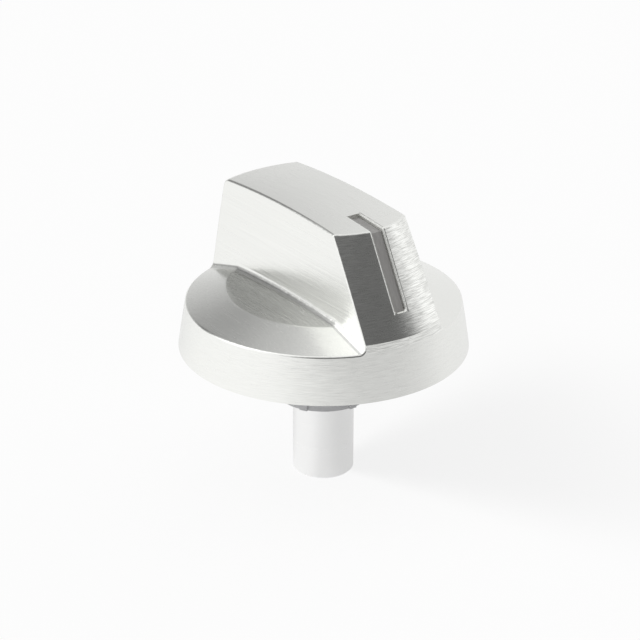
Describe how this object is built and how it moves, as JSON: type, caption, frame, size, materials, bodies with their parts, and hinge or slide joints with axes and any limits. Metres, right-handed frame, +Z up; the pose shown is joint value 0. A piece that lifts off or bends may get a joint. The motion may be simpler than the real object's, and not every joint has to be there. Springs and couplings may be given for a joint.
{
  "type": "stove knob",
  "caption": "Round cast metal stove knob with a raised bar grip, a bent pointer strip, a hollow skirt and a socket for a flatted shaft.",
  "frame": {"origin": "centre of the stem's lower end", "axes": "+Z up along the shaft axis, -Y the way the pointer faces, X across the grip"},
  "size_m": [0.058, 0.058, 0.0587],
  "materials": {
    "brushed_casting": "brushed satin plating over a casting",
    "pointer_grey": "satin grey",
    "moulded_grey": "moulded, fine matt",
    "satin_steel": "turned satin",
    "spring_steel": "rolled",
    "plated_steel": "zinc plated"
  },
  "bodies": {
    "root": {"knob_body": "brushed_casting", "indicator_strip": "pointer_grey", "hub_carrier": "moulded_grey", "shaft_socket": "moulded_grey", "stem_sleeve": "satin_steel", "spring_clip": "spring_steel", "carrier_screw_1": "plated_steel", "carrier_screw_2": "plated_steel", "carrier_screw_3": "plated_steel", "carrier_screw_4": "plated_steel"}
  },
  "joints": []
}
